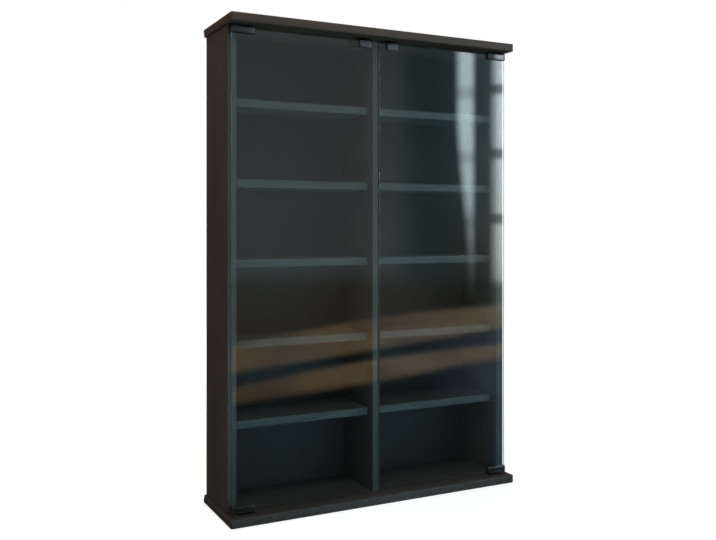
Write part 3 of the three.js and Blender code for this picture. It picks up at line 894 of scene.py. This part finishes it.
for column in columns:
    for end, height in door_ends:
        pin_node = f"{column}_{height}_hinge_pin"
        bush_node = f"{column}_{height}_bush"
        low, high = corners(pin_node)
        bush_low, bush_high = corners(bush_node)
        face = (bush_high[2] - flange_thickness) if end < 0 else (bush_low[2] + flange_thickness)
        shank_end = (high[2] - face) if end < 0 else (face - low[2])
        centre = (middle_of(pin_node, along_x), middle_of(pin_node, along_y), face)
        toward_door = (1, -end)
        profile = rounded_profile(pin_outline(shank_end), small_round) * toward_door
        grids = [turned(profile, centre, along_z)]
        make_piece(f"{pin_node}_turned", grids, turned_steel, f"{column}_door", "pin_steel", pin_node)
        profile = rounded_profile(bush_outline, small_round) * toward_door
        grids = [turned(profile, centre, along_z)]
        make_piece(f"{bush_node}_moulded", grids, nylon, "carcass", "bush_nylon", bush_node)
print("pins and bushes are in")

# %% [markdown]
# ## Strike plates
#
# The latch's magnet holds a small steel cap that is bent over the glass's top edge. It is sheet, so it
# is made as the middle surface of a sheet: its path goes up the front, over the edge and down the
# rear, and its width narrows at the two free ends to round their corners. Solidify gives it its
# thickness and Bevel takes the sharpness off its edges.

# %% Make the strike plates
plate_thickness = 1.2 * mm
plate_corner = 2 * mm
plate_bend = 0.7 * mm
plate_edge = 0.25 * mm


def strike_grid(node):
    """Path up the front, over the glass and down the rear, by the width. Near a free end the half
    width shrinks by r - sqrt(r^2 - (r - d)^2), where d is the distance from the end."""
    low, high = corners(node)
    half_sheet = plate_thickness / 2
    near, far = low[1] + half_sheet, high[1] - half_sheet
    top, foot = high[2] - half_sheet, low[2]
    length = top - plate_bend - foot
    leg = np.append(plate_corner * (1 - np.cos(np.linspace(0, math.pi / 2, 9))), length)
    up_front = np.column_stack([np.full(len(leg), near), foot + leg])
    over_front = arc((near + plate_bend, top - plate_bend), plate_bend, 180, 90, 7)
    over_rear = arc((far - plate_bend, top - plate_bend), plate_bend, 90, 0, 7)
    down_rear = np.column_stack([np.full(len(leg), far), foot + leg])[::-1]
    path = np.concatenate([up_front[:-1], over_front, over_rear, down_rear[1:]])
    from_end = np.minimum(path[:, 1] - foot, plate_corner)
    narrowing = plate_corner - np.sqrt(plate_corner ** 2 - (plate_corner - from_end) ** 2)
    half_width = (high[0] - low[0]) / 2 - narrowing
    across = np.linspace(-1, 1, 9)
    grid = np.zeros((len(path), len(across), 3))
    grid[..., 0] = middle_of(node, along_x) + half_width[:, None] * across
    grid[..., 1:] = path[:, None]
    return grid


for column in columns:
    node = f"{column}_strike_plate"
    grids = [strike_grid(node)]
    door = f"{column}_door"
    plate = make_piece(f"{node}_bent", grids, nickel, door, "strike_steel", node, crease=60)
    sheet_metal = plate.modifiers.new("sheet_thickness", "SOLIDIFY")
    sheet_metal.thickness = plate_thickness
    sheet_metal.offset = 0
    broken_edges = plate.modifiers.new("broken_edges", "BEVEL")
    broken_edges.width = plate_edge
    broken_edges.segments = 2
    broken_edges.limit_method = "ANGLE"
    broken_edges.angle_limit = math.radians(50)
print("strike plates are on")

# %% [markdown]
# ## Magnet latches
#
# Each latch is a moulded housing screwed under the top board, with a spring plunger that carries a
# magnet. The housing is a rounded bar with a bore, and a thin flange above it for the screws. The
# bar's outline is carried along Y, then turns over the front into the nose ring and on into the bore,
# so that bar, nose and bore are one skin. Every point of the ring lies at the bearing that its
# point of the outline has from the bore's axis.

# %% Shape the housings and their screws
bar_width = 18 * mm
bar_round = 3 * mm
bar_top_round = 0.4 * mm
bar_edge = 0.35 * mm
bore_radius = 3.9 * mm
bore_wall = 4 * mm
nose_radius = 5.0 * mm
nose_height = 0.7 * mm
mount_height = 2.4 * mm
mount_corner = 2.5 * mm
mount_edge = 0.4 * mm
latch_screw_inset = 12 * mm
screw_radius = 2.8 * mm
screw_sink = 0.3 * mm
dome_end = 62
dome_flatness = 0.42
cross_wall = 0.7 * mm
cross_depth = 1.0 * mm


def housing_grid(node, bore_x, bore_z):
    """The bar from its closed rear end, over its front, round the nose and back along the bore. The
    outline's two coordinates are Z and X."""
    low, high = corners(node)
    left, right = bore_x - bar_width / 2, bore_x + bar_width / 2
    box_corners = [(low[2], left), (high[2], left), (high[2], right), (low[2], right)]
    line, outward = soften(box_corners, [bar_round, bar_top_round, bar_top_round, bar_round], 9)
    bore_middle = np.array([bore_z, bore_x])
    spoke = line - bore_middle
    spoke /= np.linalg.norm(spoke, axis=1, keepdims=True)

    def ring(radius):
        return bore_middle + spoke * radius

    drawn_in = line - outward * bar_edge
    front, rear = low[1], high[1]
    nose = front - nose_height
    rows = [
        (rear, ring(0)), (rear, drawn_in), (rear - bar_edge, line),
        (front + bar_edge, line), (front, drawn_in), (front, ring(nose_radius)),
        (nose + bar_edge, ring(nose_radius)), (nose, ring(nose_radius - bar_edge)),
        (nose, ring(bore_radius + bar_edge)), (nose + bar_edge, ring(bore_radius)),
        (rear - bore_wall, ring(bore_radius)), (rear - bore_wall, ring(0)),
    ]
    return [np.column_stack([row[:, 1], np.full(len(row), y), row[:, 0]]) for y, row in rows]


def mount_grid(node):
    """The flange for the screws: a plate with round corners, as rings of its plan at four heights."""
    low, high = corners(node)
    plan = [(low[0], low[1]), (high[0], low[1]), (high[0], high[1]), (low[0], high[1])]
    line, outward = soften(plan, [mount_corner] * 4)
    under, over = high[2] - mount_height, high[2]
    heights = [under, under + mount_edge, over - mount_edge, over]
    rings = carried(line, outward, along_z, heights, [mount_edge, 0, 0, mount_edge])
    return [gathered(rings[0]), *rings, gathered(rings[-1])]


def wood_screw(centre):
    """A domed screw head that looks down, with a cross pressed into it."""
    dome = arc((0, 0), screw_radius, 0, dome_end, 8) * (1, -dome_flatness)
    rim, rim_z = dome[-1]
    rows = [
        (0, screw_sink, 0), (screw_radius, screw_sink, 0), *((x, z, 0) for x, z in dome),
        (rim * 0.98, rim_z, 1), (rim * 0.85, rim_z + cross_wall, 1), (0, rim_z + cross_depth, 1),
    ]
    return turned(rows, centre, along_z, 64, cross)


def make_housing(node, bore_x, bore_z):
    """A housing with its two screws, which stand at opposite corners of the flange."""
    grids = [housing_grid(node, bore_x, bore_z), mount_grid(node)]
    make_piece(f"{node}_moulded", grids, latch_skin, "carcass", "latch_plastic", node)
    low, high = corners(node)
    under = high[2] - mount_height
    front_screw = (bore_x - latch_screw_inset, low[1] + latch_screw_inset, under)
    rear_screw = (bore_x + latch_screw_inset, high[1] - latch_screw_inset, under)
    grids = [wood_screw(front_screw), wood_screw(rear_screw)]
    make_piece(f"{node}_screws", grids, screw_zinc, "carcass", "pin_steel")


print("latch screws:", round(2 * screw_radius / mm, 1), "mm wide")

# %% [markdown]
# ## Plungers and magnets
#
# The plunger is a moulded rod with a wider head. Its magnet sits in a shallow recess of the head and
# stands a hair proud of it. Both are turned about the bore's axis, with places that count from the
# magnet's face to the rear.

# %% Make the latches
plunger_radius = 3.6 * mm
head_radius = 4.6 * mm
head_thickness = 2 * mm
head_setback = 0.1 * mm
recess_depth = 0.25 * mm
magnet_radius = 3.4 * mm
magnet_play = 0.15 * mm
magnet_thickness = 0.8 * mm
magnet_round = 0.12 * mm


def plunger_outline(length):
    """Half the plunger's section: recess, head, rod and rear end."""
    recess_radius = magnet_radius + magnet_play
    return [
        (0, recess_depth), (recess_radius, recess_depth), (recess_radius, head_setback),
        (head_radius, head_setback), (head_radius, head_thickness), (plunger_radius, head_thickness),
        (plunger_radius, length), (0, length),
    ]


magnet_outline = [(0, 0), (magnet_radius, 0), (magnet_radius, magnet_thickness), (0, magnet_thickness)]
for column in columns:
    node = f"{column}_latch_plunger"
    low, high = corners(node)
    centre = (middle_of(node, along_x), low[1], middle_of(node, along_z))
    make_housing(f"{column}_latch_housing", centre[0], centre[2])
    body = f"{column}_plunger"
    profile = rounded_profile(plunger_outline(high[1] - low[1]), small_round)
    grids = [turned(profile, centre, along_y)]
    make_piece(f"{node}_moulded", grids, plunger_skin, body, "plunger_plastic", node)
    grids = [turned(rounded_profile(magnet_outline, magnet_round), centre, along_y)]
    make_piece(f"{node}_magnet", grids, magnet_skin, body, "plunger_plastic")
print("latches are in")

# %% [markdown]
# ## Shelf pins and spare bores
#
# Loose shelves rest on moulded pins. Beside each pin are spare bores, one hole step above and below,
# to move the shelf. Each bore gets a thin ring, a little darker than the foil, that lies on the face
# and runs down the bore's wall: a flat turned surface with a rolled edge that also hides the bore's
# few facets.

# %% Make the pins and the rims of the bores
pin_tip_chamfer = 0.6 * mm
bore_step = 32 * mm
bore_depth = 3 * mm
rim_inner = 2.45 * mm
rim_outer = 3.2 * mm
rim_height = 0.06 * mm
rim_slope = 0.15 * mm
rim_roll = 0.1 * mm
fine_sides = 32
# The rings' finish is a little darker than the panels' foil.
darker_bore_rim = fitting("darker_bore_rim", (40, 35, 31), (52, 46, 41), 0.6, scale=1500, depth=0.05)

for node in shelf_pins:
    low, high = corners(node)
    half = (high[0] - low[0]) / 2
    radius = (high[2] - low[2]) / 2
    shoulder = half - pin_tip_chamfer
    tip_radius = radius - pin_tip_chamfer
    outline = [(0, -half), (tip_radius, -half), (radius, -shoulder)]
    outline += [(radius, shoulder), (tip_radius, half), (0, half)]
    profile = rounded_profile(outline, small_round)
    grids = [turned(profile, (low + high) / 2, along_x, fine_sides)]
    make_piece(f"{node}_round", grids, pin_skin, "carcass", "shelf_pin", node)


def rim_grid(x, y, z, outward):
    """A ring on a panel's face, its outer edge down on the face and its bore edge turned in."""
    profile = [(rim_outer, 0), (rim_outer - rim_slope, rim_height), (rim_inner + rim_roll, rim_height)]
    profile += [(rim_inner, 0), (rim_inner, -bore_depth)]
    return turned(np.array(profile) * (1, outward), (x, y, z), along_x, fine_sides)


loose_rows = sorted({int(node.split("_")[3]) for node in shelf_pins})
spare_bores = []
for row in loose_rows:
    for line in ("front", "rear"):
        node = f"left_shelf_pin_{row}_{line}"
        y, z = middle_of(node, along_y), middle_of(node, along_z)
        spare_bores += [(y, z - bore_step), (y, z + bore_step)]
panel_faces = [
    ("left_side", corners("left_side")[1][0], 1),
    ("center_divider", corners("center_divider")[0][0], -1),
    ("center_divider", corners("center_divider")[1][0], 1),
    ("right_side", corners("right_side")[0][0], -1),
]
for index, (panel, face, outward) in enumerate(panel_faces):
    grids = [rim_grid(face, y, z, outward) for y, z in spare_bores]
    make_piece(f"{panel}_bore_rims_{index}", grids, darker_bore_rim, "carcass", "panel_foil")
print("shelf pins:", len(shelf_pins), "and spare bores:", len(panel_faces) * len(spare_bores))

# %% [markdown]
# ## Nails in the back sheet
#
# The back sheet is nailed on last, into the sides, the divider, the fixed shelves and the rebates.
# The nails have low domed heads. They never move, so all of them are one mesh.

# %% Drive the nails
nail_radius = 2.1 * mm
nail_height = 0.5 * mm
nail_sink = 0.3 * mm
nail_spacing = 118 * mm
upright_inset = 30 * mm
level_inset = 60 * mm
rebate_line = 4 * mm
divider_line = 5 * mm
sheet_low, sheet_high = corners("back_sheet")


def nail_grid(x, z):
    """A domed head: a quarter of an ellipse from the sheet up to the crown, turned round Y."""
    dome = arc((0, 0), 1, 0, 90, 6) * (nail_radius, nail_height)
    profile = [(0, -nail_sink), (nail_radius, -nail_sink), *dome]
    return turned(profile, (x, sheet_high[1], z), along_y, 24)


def spread(start, end):
    """Places from start to end, evenly spaced at about the nails' spacing."""
    return np.linspace(start, end, max(2, round((end - start) / nail_spacing) + 1))


side_line = middle_of("right_side", along_x)
fixed_line = middle_of("left_shelf_3", along_z)
upright_places = spread(sheet_low[2] + upright_inset, sheet_high[2] - upright_inset)
level_places = spread(sheet_low[0] + level_inset, -level_inset)
nails = [(x, z) for x in (-side_line, side_line) for z in upright_places]
nails += [((-1) ** count * divider_line, z) for count, z in enumerate(upright_places)]
for z in (sheet_low[2] + rebate_line, fixed_line, sheet_high[2] - rebate_line):
    nails += [(side * x, z) for side in (-1, 1) for x in level_places]
grids = [nail_grid(x, z) for x, z in nails]
make_piece("back_sheet_nails", grids, screw_zinc, "carcass", "pin_steel")
print("nails:", len(nails))

# %% [markdown]
# ## Sizes
#
# The looks must not make the cabinet bigger, so how far each corner of the box of what is now shown
# lies from the frame's box is printed.

# %% Print how far the box grew
visual_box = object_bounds()
grown = (np.array(visual_box) - np.array(cad_box)) / mm
print("the box grew by", np.round(grown, 2).tolist(), "mm")
